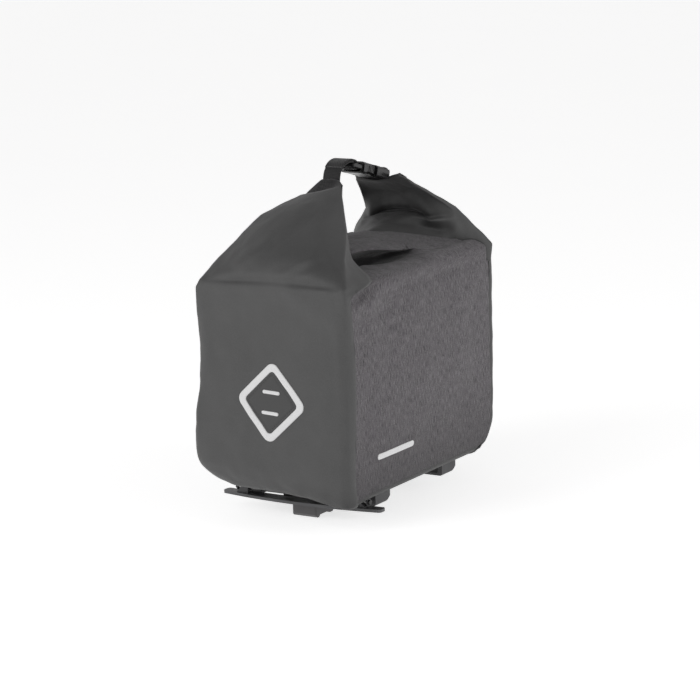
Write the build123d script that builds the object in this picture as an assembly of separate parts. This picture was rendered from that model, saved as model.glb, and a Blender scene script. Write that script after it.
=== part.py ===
from build123d import *
import os
from math import cos, radians, sin

# A roll-top bag that clips onto a bicycle's rear carrier. Millimetres, +Z up. +Y is the riding direction
# (nose), -Y the tail, +X the rider's right. X and Y are centred on the bag, and z = 0 is the underside of
# the latch block, its lowest point.

# Driving dimensions of the bag
BODY_WIDTH = 168.0
BODY_LENGTH = 290.0
BAG_BOTTOM = 32.0
SHOULDER = 243.0
SKIN = 3.0
CORNER_RADIUS = 8.0
BOTTOM_RADIUS = 22.0
SEAM_INSET = 12.0       # how far the end panels wrap round onto the sides
HEM_HEIGHT = 14.0       # how far the bottom panel wraps up the sides

# The roof: two flaps that meet at a ridge, between two folded wings. A wing's sections are
# (height above the shoulder, half width, outer y, inner y); the nose wing is a little lower.
RIDGE_HEIGHT = 20.0
TAIL_WING = [(0, 81.5, -142.5, -88), (32, 66, -110, -88), (56, 50, -82, -67), (83, 25, -51, -44)]
NOSE_WING = [(0, 81.5, 142.5, 98), (32, 66, 122, 98), (43, 58, 112, 90), (71, 25, 67, 60)]
WING_WALL = 4.0
ROLL_WIDTH = 36.0
ROLL_HEIGHT = 7.0
ROLL_ENDS = (-84.0, 94.0)

# Webbing and the side-release buckle, drawn in the buckle's own frame: y from its tail end, z out of its face
WEBBING_WIDTH = 20.0
WEBBING = 1.5
BUCKLE_SLOPE = 15.5
BUCKLE_START = (0.0, -4.0, 341.5)
BUCKLE_HALF = 14.0
HOUSING_FRONT = 18.0
HOUSING_END = 70.0
HOUSING_HEIGHT = 12.0
CAVITY_HALF = 12.5
CAVITY_HEIGHT = 9.2
CAVITY_END = 48.0
WINDOW = (24.0, 44.0)
WINDOW_INNER = 9.6      # half the width of the spine left between the two windows
PRONG_HEIGHT = 8.4
LADDER_HEIGHT = 4.4
PRONG_PIVOT = (11.0, 15.2)
PRONG_BARREL = 1.3

# The carrier adapter under the bag
PLATE_TOP = BAG_BOTTOM
PLATE_BOTTOM = 29.0
PLATE_HALF = 77.0
PLATE_ENDS = (-92.0, 88.0)
HOOK_FOOT = 16.0
HOOK_LIP = 2.5
HOOK_FLANGE = 3.0
HOOK_WALL = (71.0, 76.0)
HOOK_INNER = 55.0
HOOK_SPANS = {"tail": (-86.0, -58.0), "nose": (46.0, 74.0)}
ROD_Y = -100.0
ROD_Z = 24.0
ROD_RADIUS = 2.5
ROD_HALF = 79.0
RUNNING_GAP = 0.06
BAR_BOTTOM = 16.0
BAR_THICKNESS = 3.0
BAR_HALF = 93.0
LATCH_HALF = 14.0
LATCH_ENDS = (-99.0, -60.0)
BOLT_PLACES = [(x, y) for x in (-40, 40) for y in (-40, 10, 60)]
BOLT_RADIUS = 2.5
SCREW_RADIUS = 1.5

SIDES = {"left": -1, "right": 1}
SLOPE = radians(BUCKLE_SLOPE)
BUCKLE = Location(Plane(BUCKLE_START, x_dir=(1, 0, 0), z_dir=(0, sin(SLOPE), cos(SLOPE))))


# ---------------------------------------------------------------- helpers
def block(x, y, z):
    """A box from its (low, high) pairs."""
    size = [high - low for low, high in (x, y, z)]
    middle = [(high + low) / 2 for low, high in (x, y, z)]
    return Pos(*middle) * Box(*size)


def rod_along_x(x, y, z, radius):
    """A round bar along X between the two values in x."""
    return Pos((x[0] + x[1]) / 2, y, z) * Rot(0, 90, 0) * Cylinder(radius, x[1] - x[0])


def upright(x, y, z, radius):
    """A round bar along Z between the two values in z."""
    return Pos(x, y, (z[0] + z[1]) / 2) * Cylinder(radius, z[1] - z[0])


def prism(points, x, radius=0):
    """A (y, z) outline carried along X between the two values in x, with rounded corners if radius is given."""
    outline = Plane.YZ * make_face(Polyline(*points, close=True))
    solid = Pos(x[0], 0, 0) * extrude(outline, x[1] - x[0])
    return fillet(solid.edges().filter_by(Axis.X), radius) if radius else solid


def ribbon(points, width, radii):
    """Webbing along a (y, z) path, centred on x = 0, with its middle line rounded by radii at the bends."""
    path = [Vector(*point) for point in points]
    ways = [(after - before).normalized() for before, after in zip(path, path[1:])]
    half = WEBBING / 2
    sides = {half: [], -half: []}
    for shift, corners in sides.items():
        normals = [Vector(-way.Y, way.X) * shift for way in ways]
        corners.append((path[0] + normals[0], 0))
        for bend, radius, one, two in zip(path[1:-1], radii, normals, normals[1:]):
            turn = one.cross(two).Z
            miter = (one + two) * (half**2 / (half**2 + one.dot(two)))
            corners.append((bend + miter, radius + (-shift if turn > 0 else shift)))
        corners.append((path[-1] + normals[-1], 0))
    outline = sides[half] + sides[-half][::-1]
    edge = FilletPolyline(*[point for point, _ in outline], radius=[r for _, r in outline], close=True)
    return extrude(Plane.YZ * make_face(edge), width / 2, both=True)


def in_buckle(y, z):
    """A point of the buckle's middle plane, as (y, z) of the bag's frame."""
    return (
        BUCKLE_START[1] + y * cos(SLOPE) + z * sin(SLOPE),
        BUCKLE_START[2] - y * sin(SLOPE) + z * cos(SLOPE),
    )


def mirrored(solid, side):
    """A right-hand piece, or its mirror image on the left."""
    return solid if side > 0 else mirror(solid, Plane.YZ)


# ---------------------------------------------------------------- the bag's body
def body_block(inset):
    """The bag's lower block, smaller by inset at its sides and bottom."""
    width = BODY_WIDTH / 2 - inset
    length = BODY_LENGTH / 2 - inset
    solid = block((-width, width), (-length, length), (BAG_BOTTOM + inset, SHOULDER))
    solid = fillet(solid.edges().filter_by(Axis.Z), CORNER_RADIUS - inset)
    return fillet(solid.faces().sort_by(Axis.Z)[0].edges(), BOTTOM_RADIUS - inset)


def body_panels():
    """The skin of the block, cut along its seams into ends, bottom and sides."""
    skin = body_block(0) - body_block(SKIN)
    wide, long, seam = BODY_WIDTH, BODY_LENGTH, BODY_LENGTH / 2 - SEAM_INSET
    hem = BAG_BOTTOM + HEM_HEIGHT
    regions = {
        "tail_panel": block((-wide, wide), (-long, -seam), (0, SHOULDER)),
        "nose_panel": block((-wide, wide), (seam, long), (0, SHOULDER)),
        "bottom_panel": block((-wide, wide), (-seam, seam), (0, hem)),
        "side_panel_left": block((-wide, 0), (-seam, seam), (hem, SHOULDER)),
        "side_panel_right": block((0, wide), (-seam, seam), (hem, SHOULDER)),
    }
    return {name: skin & region for name, region in regions.items()}


def section(height, half, outer, inner):
    """One level of a wing, as a closed rectangle."""
    corners = [(-half, outer), (half, outer), (half, inner), (-half, inner)]
    return Wire.make_polygon([Vector(x, y, SHOULDER + height) for x, y in corners], close=True)


def wing(levels, wall):
    """A folded wing: hollow up to its knee, solid along its pinched top."""
    outside = Solid.make_loft([section(*level) for level in levels], ruled=True)
    away = wall if levels[0][2] < 0 else -wall
    inner = [(h, half - wall, outer + away, inner - away) for h, half, outer, inner in levels[:-1]]
    hollow = Solid.make_loft([section(*level) for level in inner], ruled=True)
    return Part() + outside, outside - hollow


def roof_prism(inset):
    """The space under the two top flaps."""
    half = BODY_WIDTH / 2 - 1 - inset * 1.5
    low, high = TAIL_WING[0][3], NOSE_WING[0][3]
    return Pos(0, low, 0) * extrude(
        Plane.XZ * make_face(
            Polyline((-half, SHOULDER), (half, SHOULDER), (0, SHOULDER + RIDGE_HEIGHT - inset), close=True)
        ),
        -(high - low),
    )


def roof_pieces():
    """Flaps, wings, the flat roll on the ridge and the batten inside it."""
    tail_block, tail_wing = wing(TAIL_WING, WING_WALL)
    nose_block, nose_wing = wing(NOSE_WING, WING_WALL)
    full = roof_prism(0)
    flaps = full - roof_prism(SKIN) - tail_block - nose_block
    half = BODY_WIDTH / 2
    above = (SHOULDER, SHOULDER + 2 * RIDGE_HEIGHT)
    length = (-BODY_LENGTH, BODY_LENGTH)
    middle = SHOULDER + RIDGE_HEIGHT + ROLL_HEIGHT / 2
    roll = block((-ROLL_WIDTH / 2, ROLL_WIDTH / 2), ROLL_ENDS, (middle - ROLL_HEIGHT / 2, middle + ROLL_HEIGHT / 2))
    roll = fillet(roll.edges().filter_by(Axis.Y), ROLL_HEIGHT / 2 - 0.1)
    batten = block((-11, 11), (ROLL_ENDS[0] + 8, ROLL_ENDS[1] - 8), (middle - 0.75, middle + 0.75))
    return {
        "top_flap_left": flaps & block((-half, 0), length, above),
        "top_flap_right": flaps & block((0, half), length, above),
        "tail_wing": tail_wing,
        "nose_wing": nose_wing,
        "roll_band": roll - batten - full - tail_block - nose_block,
        "mouth_batten": batten,
    }


def end_strip(level, lift):
    """The black strip along a wing's top edge, rounded at its ends."""
    height, half, outer, inner = level
    z = SHOULDER + height
    strip = block((-half, half), sorted((outer - 0.5, inner + 0.5)), (z, z + lift))
    return fillet(strip.edges().filter_by(Axis.Y), lift * 0.45)


def boards():
    """Stiff boards inside the cloth: one on the floor and one against each side."""
    floor = BAG_BOTTOM + SKIN
    reach = BODY_WIDTH / 2 - BOTTOM_RADIUS - 1
    length = BODY_LENGTH / 2 - BOTTOM_RADIUS - 1
    base = block((-reach, reach), (-length, length), (floor, floor + 3))
    base = fillet(base.edges().filter_by(Axis.Z), 12)
    wall = BODY_WIDTH / 2 - SKIN
    made = {"base_board": base}
    for name, side in SIDES.items():
        board = block((wall - 3, wall), (-126, 126), (BAG_BOTTOM + 26, SHOULDER - 9))
        board = fillet(board.edges().filter_by(Axis.X), 15)
        made[f"side_board_{name}"] = mirrored(board, side)
    return made


# ---------------------------------------------------------------- markings let into the cloth
DIAMOND_MIDDLE = (-0.4, 127.0)
DIAMOND_HALF = (40.6, 42.0)
DIAMOND_TILT = -3.5     # the patch is sewn on slightly turned
RING_WIDTH = 7.0
BAR_SIZE = (19.0, 3.5)
BAR_SPACING = 20.5
MARK_DEPTH = 1.2


def on_tail(outline):
    """A flat outline drawn about the diamond's middle, sunk into the tail face."""
    face = Plane((DIAMOND_MIDDLE[0], -BODY_LENGTH / 2, DIAMOND_MIDDLE[1]), x_dir=(1, 0, 0), z_dir=(0, -1, 0))
    return face * Rot(0, 0, DIAMOND_TILT) * outline


def rhombus(shrink):
    """A rounded rhombus on the tail face, smaller by shrink at its four points."""
    half_x, half_z = DIAMOND_HALF[0] - shrink, DIAMOND_HALF[1] - shrink
    outline = make_face(Polyline((0, half_z), (half_x, 0), (0, -half_z), (-half_x, 0), close=True))
    outline = fillet(outline.vertices(), 8 - shrink * 0.4)
    return extrude(on_tail(outline), -MARK_DEPTH)


def markings():
    """The reflective ring, the rubber patch inside it, its two bars, and a strip on each side."""
    outer, inner = rhombus(0), rhombus(RING_WIDTH * 1.4)
    bars = Part()
    for level in (-BAR_SPACING / 2, BAR_SPACING / 2):
        bar = Pos(0, level, 0) * RectangleRounded(*BAR_SIZE, BAR_SIZE[1] * 0.45)
        bars += extrude(on_tail(bar), -MARK_DEPTH / 2)
    half = BODY_WIDTH / 2
    strip = block((half - MARK_DEPTH, half), (-96, -28), (66, 72))
    strip = fillet(strip.edges().filter_by(Axis.X), 2.5)
    return {
        "reflective_ring": outer - inner,
        "light_clip_patch": inner - bars,
        "light_clip_bars": bars,
        "side_reflectors": strip + mirror(strip, Plane.YZ),
    }


# ---------------------------------------------------------------- straps and buckle
def tail_strap():
    """Webbing from the tail strip, down and up through the plug's ladder, and back as a free end."""
    path = [
        (-47.5, SHOULDER + 78),
        (-47.5, SHOULDER + 93.2),
        (-28, SHOULDER + 93.2),
        (-9, SHOULDER + 102.6),
        in_buckle(-1, 3.15),
        in_buckle(4.75, 3.15),
        in_buckle(4.75, -3.15),
        in_buckle(11.25, -3.15),
        in_buckle(11.25, 5.1),
        in_buckle(-2, 5.1),
        (-10, SHOULDER + 104.6),
        (-25, SHOULDER + 96.9),
    ]
    return ribbon(path, WEBBING_WIDTH, [2, 5, 4, 2, 1, 1, 1, 1, 1.5, 1.5])


def nose_strap():
    """The short loop from the nose wing's outer face, round the housing's end bar."""
    knee, top = NOSE_WING[2], NOSE_WING[3]
    on_wing = (knee[2] - 18, SHOULDER + knee[0] + 18 * (top[0] - knee[0]) / (knee[2] - top[2]) + 1.1)
    path = [
        on_wing,
        (top[2] + 4.6, SHOULDER + top[0] - 1.0),
        in_buckle(71.6, -4.0),
        in_buckle(71.6, 6.2),
        in_buckle(59.2, 6.2),
        in_buckle(59.2, -2.0),
    ]
    return ribbon(path, WEBBING_WIDTH, [2, 2, 1.5, 1.5])


def buckle_housing():
    """The female half: a flat tube with two side windows and a bar for the short strap."""
    half, high = BUCKLE_HALF, HOUSING_HEIGHT / 2
    shell = block((-half, half), (HOUSING_FRONT, HOUSING_END), (-high, high))
    shell = fillet(shell.edges().filter_by(Axis.Y), 3.5)
    shell = fillet(shell.faces().sort_by(Axis.Y)[-1].edges(), 2.5)
    cavity = block((-CAVITY_HALF, CAVITY_HALF), (HOUSING_FRONT - 1, CAVITY_END), (-CAVITY_HEIGHT / 2, CAVITY_HEIGHT / 2))
    windows = Part() + [
        block(sorted((side * WINDOW_INNER, side * 2 * half)), WINDOW, (-high - 1, high + 1)) for side in (-1, 1)
    ]
    slot = block((-10.6, 10.6), (57.2, 61.2), (-high - 1, high + 1))
    waist = Part() + [
        Pos(side * (half + 21.2), sum(WINDOW) / 2, 0) * Cylinder(22, HOUSING_HEIGHT + 2) for side in (-1, 1)
    ]
    thin_end = block((-half - 1, half + 1), (52, HOUSING_END + 1), (4.6, high + 1))
    thin_end += block((-half - 1, half + 1), (52, HOUSING_END + 1), (-high - 1, -4.6))
    return BUCKLE * (shell - cavity - windows - slot - waist - thin_end)


def buckle_plug():
    """The male half: a two-slot ladder for the webbing and a middle guide."""
    half, high = BUCKLE_HALF - 1, LADDER_HEIGHT / 2
    base = block((-half, half), (0, 17), (-high, high))
    base = fillet(base.edges().filter_by(Axis.Z), 2.5)
    base = fillet(base.faces().sort_by(Axis.Y)[0].edges().filter_by(Axis.X), 1.2)
    slots = Part() + [block((-10.6, 10.6), span, (-high - 1, high + 1)) for span in ((3.0, 6.5), (9.5, 13.0))]
    for side in (-1, 1):
        x, y = PRONG_PIVOT
        slots += upright(side * x, y, (-high - 1, high + 1), PRONG_BARREL + RUNNING_GAP)
        slots += block(sorted((side * (x - 2.0), side * (x + 1.5))), (y, 18), (-high - 1, high + 1))
    guide = block((-2.4, 2.4), (16.9, 41), (-1.8, 1.8))
    guide = fillet(guide.edges().filter_by(Axis.Z), 1)
    return BUCKLE * (base - slots + guide)


def buckle_prong(side):
    """A sprung arm on a moulded barrel: its barb sits behind the housing's mouth, its grip in the side window."""
    x, y = PRONG_PIVOT
    arm = [
        (x - 0.8, y), (x + 0.9, y), (x + 0.9, 17.4), (12.1, 18), (12.1, 24.4), (13.7, 24.6), (13.9, 30),
        (13.3, 38), (10.4, 46), (7.8, 46), (8.3, 30), (8.9, 18.5),
    ]
    outline = make_face(Polyline(*arm, close=True))
    outline = fillet(outline.vertices().sort_by(Axis.Y)[-2:], 1.2)
    high = PRONG_HEIGHT / 2
    rounded = fillet(block((-20, 14), (0, 50), (-high, high)).edges().filter_by(Axis.Y), 2.2)
    solid = (Pos(0, 0, -high) * extrude(outline, 2 * high)) & rounded
    solid -= block((0, 20), (0, 17.6), (1.8, 6)) + block((0, 20), (0, 17.6), (-6, -1.8))
    solid += upright(x, y, (-1.8, 1.8), PRONG_BARREL)
    for level in (27, 30, 33, 36):
        groove = block((10.4, 16), (level, level + 1.3), (-6, 6)) - block((0, 12.7), (0, 50), (-3.2, 3.2))
        solid -= groove
    return BUCKLE * mirrored(solid, side)


# ---------------------------------------------------------------- carrier adapter
def chassis_plate():
    """The plate bolted under the bag, with a notch above the latch and two ears for the hinge knuckles."""
    plate = block((-PLATE_HALF, PLATE_HALF), PLATE_ENDS, (PLATE_BOTTOM, PLATE_TOP))
    plate = fillet(plate.edges().filter_by(Axis.Z), 8)
    waist = [block((62 * s, 90 * s) if s > 0 else (-90, -62), (-50, 38), (PLATE_BOTTOM - 1, PLATE_TOP + 1)) for s in (-1, 1)]
    notch = block((-20, 20), (PLATE_ENDS[0] - 1, -56), (PLATE_BOTTOM - 1, PLATE_TOP + 1))
    plate = plate - waist - notch
    for side in (-1, 1):
        ear = sorted((44 * side, 61 * side))
        plate += block(ear, (ROD_Y - 8, PLATE_ENDS[0] + 10), (PLATE_BOTTOM, PLATE_TOP))
    for x, y in BOLT_PLACES:
        plate -= upright(x, y, (PLATE_BOTTOM - 1, PLATE_TOP + 1), BOLT_RADIUS + 0.2)
    return plate


def hook(side, span):
    """A rail hook: a flange under the plate, an outer wall, and a lip that grips under the carrier's rail."""
    low, high = span
    outer, wall = HOOK_WALL[1], HOOK_WALL[0]
    body = block((HOOK_INNER, outer), (low, high), (HOOK_FOOT, PLATE_BOTTOM))
    body = fillet(body.edges().filter_by(Axis.Y).group_by(Axis.Z)[0].sort_by(Axis.X)[-1], 2.5)
    slot_top, slot_bottom = PLATE_BOTTOM - HOOK_FLANGE, HOOK_FOOT + HOOK_LIP
    slot = block((HOOK_INNER - 1, wall), (low - 1, high + 1), (slot_bottom, slot_top))
    lead_in = prism(
        [(high - 9, slot_bottom), (high + 1, slot_bottom), (high + 1, slot_bottom - 2.2)], (HOOK_INNER - 1, wall)
    )
    nose_cut = prism([(high - 7, HOOK_FOOT), (high, HOOK_FOOT), (high, HOOK_FOOT + 5)], (HOOK_INNER - 1, outer + 1))
    return mirrored(body - slot - lead_in - nose_cut, side)


def hook_screws():
    """Countersunk screws down through the plate into each hook's flange."""
    places = [(s * 63, y) for s in (-1, 1) for low, high in HOOK_SPANS.values() for y in (low + 7, high - 7)]
    return screws_down(places, PLATE_TOP, PLATE_BOTTOM - HOOK_FLANGE + 0.4)


def screws_down(places, top, tip):
    """Countersunk screws whose heads lie flush at top, one at each place."""
    made = Part()
    for x, y in places:
        head = Pos(x, y, top - 0.8) * Cone(SCREW_RADIUS, SCREW_RADIUS + 1.4, 1.6)
        made += head + upright(x, y, (tip, top - 1.5), SCREW_RADIUS)
    return made


def hinge_knuckle(side):
    """A block under the plate's ear that holds the hinge rod."""
    outline = [(ROD_Y - 6, PLATE_BOTTOM), (ROD_Y - 4, ROD_Z), (ROD_Y + 4, ROD_Z), (ROD_Y + 7, PLATE_BOTTOM)]
    knuckle = prism(outline, (47, 58)) + rod_along_x((47, 58), ROD_Y, ROD_Z, 4.5)
    return mirrored(knuckle - rod_along_x((40, 65), ROD_Y, ROD_Z, ROD_RADIUS), side)


def rod_clips():
    """Push-on rings outside the lever's cheeks."""
    ring = rod_along_x((75.6, 76.8), ROD_Y, ROD_Z, 4.2) - rod_along_x((70, 80), ROD_Y, ROD_Z, ROD_RADIUS)
    return ring + mirror(ring, Plane.YZ)


def torsion_spring(side):
    """A coil round the rod with one leg under the plate and one on the release bar."""
    turns, wire = 7, 0.75
    coil = rod_along_x((11, 11 + turns * 2 * wire), ROD_Y, ROD_Z, 4.6)
    coil -= rod_along_x((10, 30), ROD_Y, ROD_Z, 3.1)
    upper = block((20, 21.5), (ROD_Y + 3.2, ROD_Y + 14), (ROD_Z + 3.0, ROD_Z + 4.5))
    return mirrored(coil + upper, side)


# ---------------------------------------------------------------- release lever
def release_bar():
    """The bowed steel bar across the tail, with a tongue that carries the latch block."""
    low, high = BAR_BOTTOM, BAR_BOTTOM + BAR_THICKNESS
    bow = make_face(
        ThreePointArc((-BAR_HALF, -105), (0, -114), (BAR_HALF, -105))
        + Line((BAR_HALF, -105), (BAR_HALF, -94))
        + ThreePointArc((BAR_HALF, -94), (0, -97), (-BAR_HALF, -94))
        + Line((-BAR_HALF, -94), (-BAR_HALF, -105))
    )
    bar = Pos(0, 0, low) * extrude(bow, BAR_THICKNESS)
    bar = fillet(bar.edges().filter_by(Axis.Z), 3.5)
    tongue = block((-LATCH_HALF, LATCH_HALF), (-100, -62), (low, high))
    tongue = fillet(tongue.faces().sort_by(Axis.Y)[-1].edges().filter_by(Axis.Z), 3)
    return bar + tongue


def lever_cheek(side):
    """A moulded cheek on the bar, with a slanted outer side, that turns on the rod."""
    low, high = BAR_BOTTOM + BAR_THICKNESS, ROD_Z + 4.2
    cheek = block((62, 75), (ROD_Y - 6, ROD_Y + 5), (low, high))
    cheek = fillet(cheek.edges().filter_by(Axis.X).group_by(Axis.Z)[-1], 3)
    slant = make_face(Polyline((75.1, low + 1), (75.1, high + 1), (66, high + 1), close=True))
    slant = Pos(0, ROD_Y + 20, 0) * extrude(Plane.XZ * slant, 40)
    bore = rod_along_x((55, 80), ROD_Y, ROD_Z, ROD_RADIUS + RUNNING_GAP)
    return mirrored(cheek - slant - bore, side)


def latch_block():
    """The block that drops behind the carrier's cross bar, with a ramped, rounded nose."""
    tail, nose = LATCH_ENDS
    outline = [
        (tail, BAR_BOTTOM), (tail, 3), (tail + 3, 0), (tail + 6, 0), (tail + 8, 2), (nose - 15, 2), (nose - 13, 0),
        (nose - 8, 0), (nose - 2, 5), (nose, 10), (nose - 1, BAR_BOTTOM),
    ]
    body = prism(outline, (-LATCH_HALF, LATCH_HALF))
    return fillet(body.edges().filter_by(Axis.Z), 2)


def latch_screws():
    """Two screws down through the tongue into the latch block."""
    top = BAR_BOTTOM + BAR_THICKNESS
    return screws_down([(0, -88), (0, -70)], top, BAR_BOTTOM - 9)


def cheek_screws():
    """One screw up through the bar into each cheek, beside the rod."""
    low = BAR_BOTTOM
    made = Part()
    for x in (-68.5, 68.5):
        head = Pos(x, ROD_Y, low + 0.8) * Cone(SCREW_RADIUS + 1.4, SCREW_RADIUS, 1.6)
        made += head + upright(x, ROD_Y, (low + 1.5, low + BAR_THICKNESS + 1.8), SCREW_RADIUS)
    return made


def knuckle_screws():
    """One screw down through each ear into its knuckle, beside the rod."""
    return screws_down([(-52.5, ROD_Y), (52.5, ROD_Y)], PLATE_TOP, ROD_Z + ROD_RADIUS + 0.4)


def chassis_bolts():
    """Six bolts through board, bottom and plate, with washers inside the bag and nuts under the plate."""
    seat = BAG_BOTTOM + SKIN + 3
    bolts, washers, nuts = Part(), Part(), Part()
    for x, y in BOLT_PLACES:
        washer = upright(x, y, (seat, seat + 1), 6)
        head = fillet(upright(x, y, (seat + 1, seat + 3.6), 4.6).edges().group_by(Axis.Z)[-1], 1.5)
        bolts += head + upright(x, y, (PLATE_BOTTOM - 4.5, seat + 1), BOLT_RADIUS)
        washers += washer - upright(x, y, (seat - 1, seat + 2), BOLT_RADIUS)
        hexagon = Pos(x, y, PLATE_BOTTOM - 4) * extrude(RegularPolygon(4.6, 6), 4)
        nuts += hexagon - upright(x, y, (PLATE_BOTTOM - 6, PLATE_BOTTOM + 1), BOLT_RADIUS)
    return {"chassis_bolts": bolts, "chassis_washers": washers, "chassis_nuts": nuts}


# ---------------------------------------------------------------- assembly
def make_parts():
    """Every node's solid, by name."""
    parts = {**body_panels(), **roof_pieces(), **boards(), **markings(), **chassis_bolts()}
    parts["tail_end_strip"] = end_strip(TAIL_WING[-1], 8)
    parts["nose_end_strip"] = end_strip(NOSE_WING[-1], 3)
    parts["tail_strap"] = tail_strap()
    parts["nose_strap"] = nose_strap()
    parts["buckle_housing"] = buckle_housing()
    parts["buckle_plug"] = buckle_plug()
    parts["chassis_plate"] = chassis_plate()
    parts["hinge_rod"] = rod_along_x((-ROD_HALF, ROD_HALF), ROD_Y, ROD_Z, ROD_RADIUS)
    parts["rod_clips"] = rod_clips()
    parts["release_bar"] = release_bar()
    parts["latch_block"] = latch_block()
    parts["latch_screws"] = latch_screws()
    parts["cheek_screws"] = cheek_screws()
    parts["knuckle_screws"] = knuckle_screws()
    parts["hook_screws"] = hook_screws()
    for name, side in SIDES.items():
        parts[f"buckle_prong_{name}"] = buckle_prong(side)
        parts[f"hinge_knuckle_{name}"] = hinge_knuckle(side)
        parts[f"torsion_spring_{name}"] = torsion_spring(side)
        parts[f"lever_cheek_{name}"] = lever_cheek(side)
        for end, span in HOOK_SPANS.items():
            parts[f"hook_{end}_{name}"] = hook(side, span)
    return fitted(parts)


def fitted(parts):
    """Seats and holes, cut where one piece lies in another."""
    cuts = {
        "tail_panel": ["reflective_ring", "light_clip_patch", "light_clip_bars"],
        "side_panel_left": ["side_reflectors"],
        "side_panel_right": ["side_reflectors"],
        "tail_wing": ["tail_strap"],
        "tail_end_strip": ["tail_strap"],
        "nose_end_strip": ["nose_strap"],
        "base_board": ["chassis_bolts"],
        "bottom_panel": ["chassis_bolts"],
        "chassis_plate": ["hook_screws", "knuckle_screws"],
        "hinge_knuckle_left": ["knuckle_screws"],
        "hinge_knuckle_right": ["knuckle_screws"],
        "release_bar": ["latch_screws", "cheek_screws"],
        "latch_block": ["latch_screws"],
        "lever_cheek_left": ["cheek_screws"],
        "lever_cheek_right": ["cheek_screws"],
    }
    cuts.update({f"hook_{end}_{side}": ["hook_screws"] for end in HOOK_SPANS for side in SIDES})
    for name, tools in cuts.items():
        for tool in tools:
            parts[name] = parts[name] - parts[tool]
    return parts


os.makedirs("parts", exist_ok=True)
for node, solid in make_parts().items():
    export_step(Compound(solid.solids()) if len(solid.solids()) > 1 else solid.solids()[0], f"parts/{node}.step")
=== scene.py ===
from math import acos, cos, pi, radians, sin, sqrt, tan

import bpy
import numpy as np
from mathutils import Matrix, Vector, noise
from mathutils.bvhtree import BVHTree


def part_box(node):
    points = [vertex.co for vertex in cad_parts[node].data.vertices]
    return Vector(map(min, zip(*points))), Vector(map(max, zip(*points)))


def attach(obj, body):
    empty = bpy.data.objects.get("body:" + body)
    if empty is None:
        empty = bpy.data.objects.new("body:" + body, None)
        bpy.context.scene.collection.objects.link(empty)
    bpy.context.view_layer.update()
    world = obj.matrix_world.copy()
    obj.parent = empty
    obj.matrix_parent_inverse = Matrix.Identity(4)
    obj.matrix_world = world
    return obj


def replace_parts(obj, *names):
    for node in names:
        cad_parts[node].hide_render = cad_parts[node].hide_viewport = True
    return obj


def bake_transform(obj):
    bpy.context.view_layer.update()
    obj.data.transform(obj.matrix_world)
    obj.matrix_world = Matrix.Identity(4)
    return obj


# The looks of a roll-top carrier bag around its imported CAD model. The row frame is in metres with +Z up,
# +Y towards the nose and +X to the rider's right. Shapes below are written in millimetres and scaled by MM.
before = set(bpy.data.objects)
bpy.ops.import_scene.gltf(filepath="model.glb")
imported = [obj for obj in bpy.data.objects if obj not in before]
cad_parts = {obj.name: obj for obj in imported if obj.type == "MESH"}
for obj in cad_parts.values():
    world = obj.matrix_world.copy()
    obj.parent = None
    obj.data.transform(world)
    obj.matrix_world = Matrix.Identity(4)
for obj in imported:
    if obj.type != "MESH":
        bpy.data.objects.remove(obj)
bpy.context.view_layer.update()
MM = 0.001


def millimetres(corner):
    return np.array(corner, float) / MM


def node_box(name):
    """A CAD node's lowest and highest corners, in millimetres."""
    low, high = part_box(name)
    return millimetres(low), millimetres(high)


# ---- sizes read from the frame
SIDE = node_box("side_panel_right")[1][0]  # half the bag's width
END = node_box("nose_panel")[1][1]  # half the bag's length
BOTTOM = node_box("bottom_panel")[0][2]
SHOULDER = node_box("side_panel_right")[1][2]
HEM_TOP = node_box("side_panel_right")[0][2]  # where the CAD's side cloth starts
HEATHER_LOW = HEM_TOP - 9.0  # the heather laps over the hem and hides most of it
SEAM = END - node_box("side_panel_right")[1][1]  # how far the tarpaulin ends wrap onto the sides
CLOTH = 1.1  # thickness of the coated cloth
WELD = 0.7  # how far tarpaulin stands proud of the cloth under it


# ---- materials
def linear(hex_colour):
    """An sRGB hex colour as linear RGBA."""
    parts = [int(hex_colour[i:i + 2], 16) / 255 for i in (0, 2, 4)]
    return [c / 12.92 if c < 0.04045 else ((c + 0.055) / 1.055) ** 2.4 for c in parts] + [1.0]


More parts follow.
